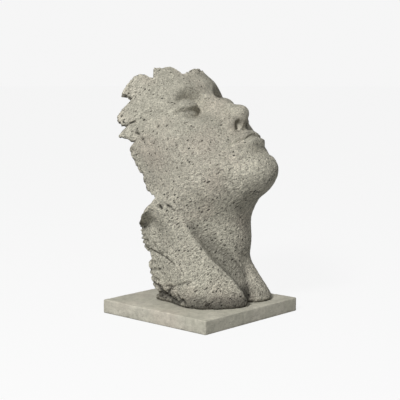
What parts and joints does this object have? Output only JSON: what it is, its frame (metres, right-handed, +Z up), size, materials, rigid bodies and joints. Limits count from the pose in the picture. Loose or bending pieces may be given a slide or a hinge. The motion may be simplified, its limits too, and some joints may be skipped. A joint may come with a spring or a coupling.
{
  "type": "face sculpture",
  "caption": "Hollow cast-stone head with a calm upturned face, torn edges and a ragged neck, open at the back and standing on a square plate.",
  "frame": {"origin": "middle of the square plate's underside", "axes": "+Z up, the figure faces -Y, +X to the figure's left"},
  "size_m": [0.2115, 0.2141, 0.3552],
  "materials": {
    "cast_stone": "rough, pitted cast stone",
    "plate_stone": "fine-grained cast stone"
  },
  "bodies": {
    "root": {"face_sculpture": "cast_stone", "base_plate": "plate_stone"}
  },
  "joints": []
}
